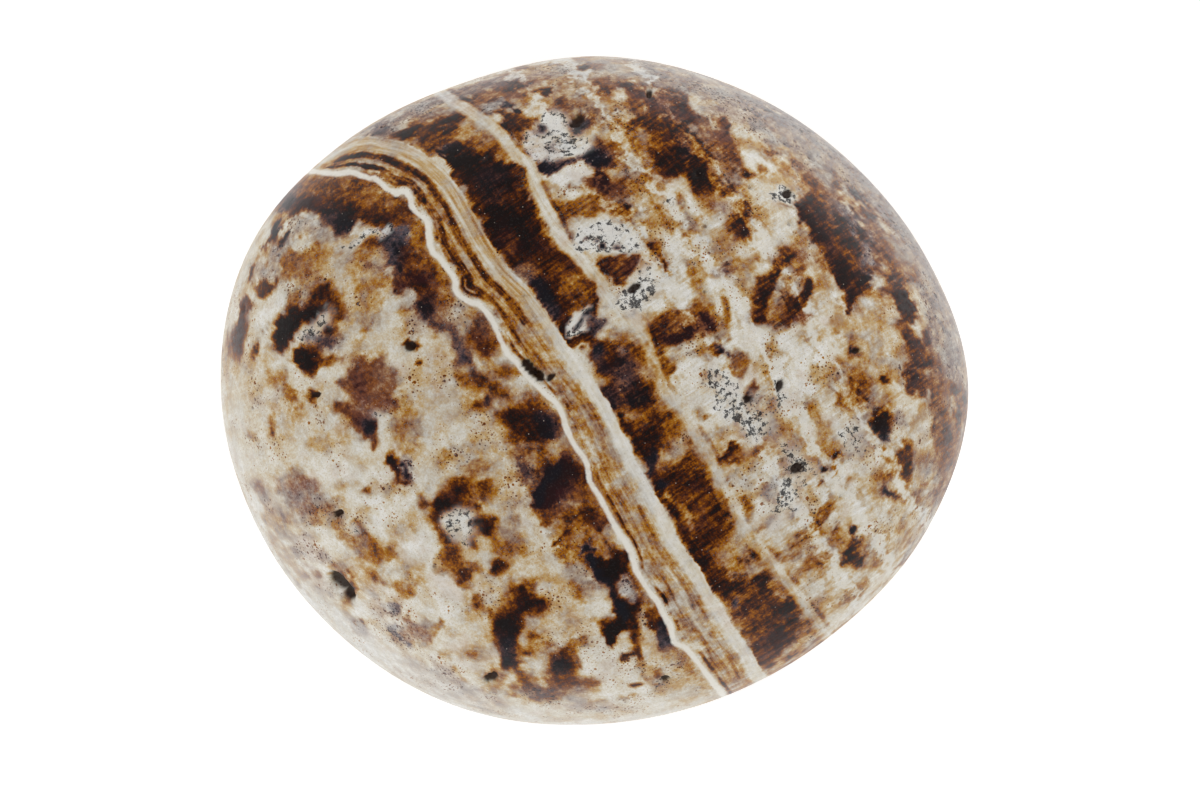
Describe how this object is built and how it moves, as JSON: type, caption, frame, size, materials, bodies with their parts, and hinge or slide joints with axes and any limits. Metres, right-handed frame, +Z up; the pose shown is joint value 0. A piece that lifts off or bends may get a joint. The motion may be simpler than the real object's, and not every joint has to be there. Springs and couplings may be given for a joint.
{
  "type": "river pebble",
  "caption": "Smooth, flattened egg-shaped river pebble of banded brown and cream calcite, with solution pits and a level resting patch.",
  "frame": {"origin": "under the middle of the stone, on the surface it rests on", "axes": "+X along the stone's long way, +Y across it, +Z up out of its broad banded face"},
  "size_m": [0.05, 0.0448, 0.0326],
  "materials": {
    "banded_calcite": "water-worn satin, cream ground with umber and amber growth bands and blue-black specks"
  },
  "bodies": {
    "root": {"pebble": "banded_calcite"}
  },
  "joints": []
}
